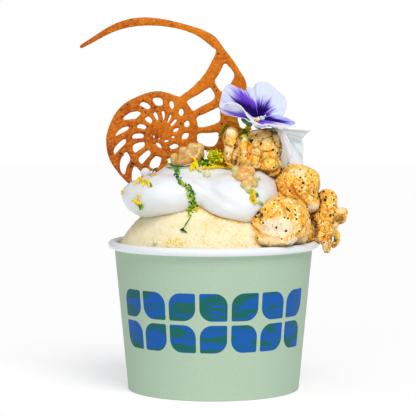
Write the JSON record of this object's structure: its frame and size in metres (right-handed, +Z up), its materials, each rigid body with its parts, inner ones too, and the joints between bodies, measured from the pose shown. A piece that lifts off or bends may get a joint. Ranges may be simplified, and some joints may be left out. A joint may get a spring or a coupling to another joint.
{
  "type": "cup of sorbet",
  "caption": "Paper cup of lemon sorbet with meringue cream, a spiral shell tuile, glazed popcorn, viola blossoms and citrus pearls.",
  "frame": {"origin": "on the table, on the cup's axis", "axes": "+Z up; the served side, with the popcorn to its right, faces -Y; the tuile stands across the cup, along X"},
  "size_m": [0.1224, 0.096, 0.1693],
  "materials": {
    "cup_paper": "satin coated sage green board with a white rolled rim",
    "base_paper": "plain white coated board",
    "sorbet": "frozen, fine-grained and pale yellow, with small flecks of zest",
    "tuile": "baked orange-brown lace biscuit, finely grained, with black seeds",
    "popcorn": "golden glaze over creased puffed corn, with black pepper",
    "cream": "smooth glossy white meringue cream",
    "pearls": "wet and translucent, amber to pale yellow",
    "petals_violet": "thin soft petals, pale lilac with deep violet rays",
    "petals_pale": "thin soft petals, blue-white"
  },
  "bodies": {
    "root": {"cup_wall": "cup_paper", "cup_base": "base_paper", "sorbet": "sorbet", "tuile": "tuile", "popcorn_top": "popcorn", "popcorn_back": "popcorn", "popcorn_front": "popcorn", "popcorn_right": "popcorn", "cream": "cream", "pearls_top": "pearls", "pearls_front": "pearls", "viola_front": "petals_violet", "viola_back": "petals_pale"}
  },
  "joints": []
}
